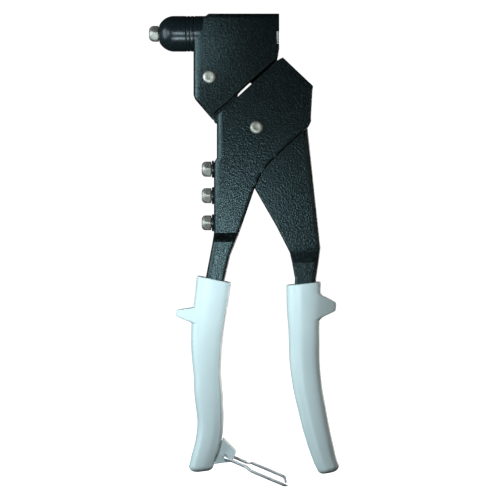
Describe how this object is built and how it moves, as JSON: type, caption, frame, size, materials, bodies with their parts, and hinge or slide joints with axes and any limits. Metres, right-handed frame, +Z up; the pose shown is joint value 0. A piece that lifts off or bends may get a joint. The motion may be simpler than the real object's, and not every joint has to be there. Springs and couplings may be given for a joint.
{
  "type": "hand riveter",
  "caption": "Pressed-steel hand riveter with compound lever handles, domed nose barrel, spare nosepieces on the handle, vinyl grips and a wire latch bail.",
  "frame": {"origin": "centre of the fitted nosepiece's front face, on the mandrel axis", "axes": "+X from the nose to the rear along the mandrel axis, +Z up from the handles to the head, +Y across the tool from the pivot pins' domed heads to their clips"},
  "size_m": [0.1076, 0.0314, 0.2647],
  "materials": {
    "wrinkle_paint": "black wrinkle enamel on pressed steel",
    "gloss_paint": "smooth black enamel",
    "nickel_plate": "nickel plated, semi bright",
    "zinc_plate": "bright zinc plated",
    "machined_steel": "turned and hardened steel",
    "spring_steel": "oiled spring steel",
    "bright_wire": "bright drawn wire",
    "grip_vinyl": "satin pale aqua-grey vinyl"
  },
  "bodies": {
    "head": {"head_frame": "wrinkle_paint", "nose_barrel": "gloss_paint", "barrel_mount_plate": "zinc_plate", "nosepiece": "nickel_plate", "rear_end_plate": "zinc_plate", "front_pivot_pin": "nickel_plate", "front_pivot_clip": "spring_steel", "return_spring": "spring_steel"},
    "puller": {"jaw_case": "machined_steel", "pull_tube": "machined_steel", "lock_nut": "zinc_plate", "jaw_spring": "spring_steel"},
    "pusher": {"jaw_pusher": "machined_steel"},
    "upper_jaw": {"jaw_upper": "machined_steel"},
    "lower_jaw": {"jaw_lower": "machined_steel"},
    "lever": {"lever_frame": "wrinkle_paint", "lever_grip": "grip_vinyl", "front_pivot_bush": "zinc_plate", "main_pivot_bush": "zinc_plate", "fork_pin_front": "machined_steel", "fork_pin_rear": "machined_steel"},
    "handle": {"handle_frame": "wrinkle_paint", "handle_grip": "grip_vinyl", "main_pivot_pin": "nickel_plate", "main_pivot_clip": "spring_steel", "spare_nosepiece_small": "nickel_plate", "spare_nosepiece_medium": "nickel_plate", "spare_nosepiece_large": "nickel_plate", "nosepiece_boss_1": "gloss_paint", "nosepiece_boss_2": "gloss_paint", "nosepiece_boss_3": "gloss_paint", "latch_bracket": "grip_vinyl"},
    "bail": {"latch_bail": "bright_wire"}
  },
  "joints": [
    {"name": "lever_pivot", "type": "hinge", "parent": "head", "child": "lever", "pos_m": [0.0345, 0, -0.026], "axis": [0, 1, 0], "range_deg": [0, 11], "stiffness_Nm_per_rad": 1.5, "springref_deg": -5.73},
    {"name": "handle_pivot", "type": "hinge", "parent": "lever", "child": "handle", "pos_m": [0.0609, 0, -0.0541], "axis": [0, 1, 0], "range_deg": [-11, 0]},
    {"name": "puller_slide", "type": "slide", "parent": "head", "child": "puller", "axis": [1, 0, 0], "range_m": [0, 0.00503], "deforming": ["return_spring"]},
    {"name": "pusher_slide", "type": "slide", "parent": "puller", "child": "pusher", "axis": [-1, 0, 0], "range_m": [0, 0.00095], "deforming": ["jaw_spring"]},
    {"name": "upper_jaw_slide", "type": "slide", "parent": "puller", "child": "upper_jaw", "axis": [-0.9511, 0, -0.309], "range_m": [0, 0.001]},
    {"name": "lower_jaw_slide", "type": "slide", "parent": "puller", "child": "lower_jaw", "axis": [-0.9511, 0, 0.309], "range_m": [0, 0.001]},
    {"name": "bail_swing", "type": "hinge", "parent": "handle", "child": "bail", "pos_m": [0.043, 0, -0.239], "axis": [0, 1, 0], "range_deg": [0, 75]}
  ],
  "couplings": [
    {"joint": "handle_pivot", "follows": "lever_pivot", "ratio": -1},
    {"joint": "puller_slide", "follows": "lever_pivot", "m_per_rad": 0.0262},
    {"joint": "pusher_slide", "follows": "lever_pivot", "m_per_rad": 0.00494},
    {"joint": "upper_jaw_slide", "follows": "lever_pivot", "m_per_rad": 0.0052},
    {"joint": "lower_jaw_slide", "follows": "lever_pivot", "m_per_rad": 0.0052}
  ]
}
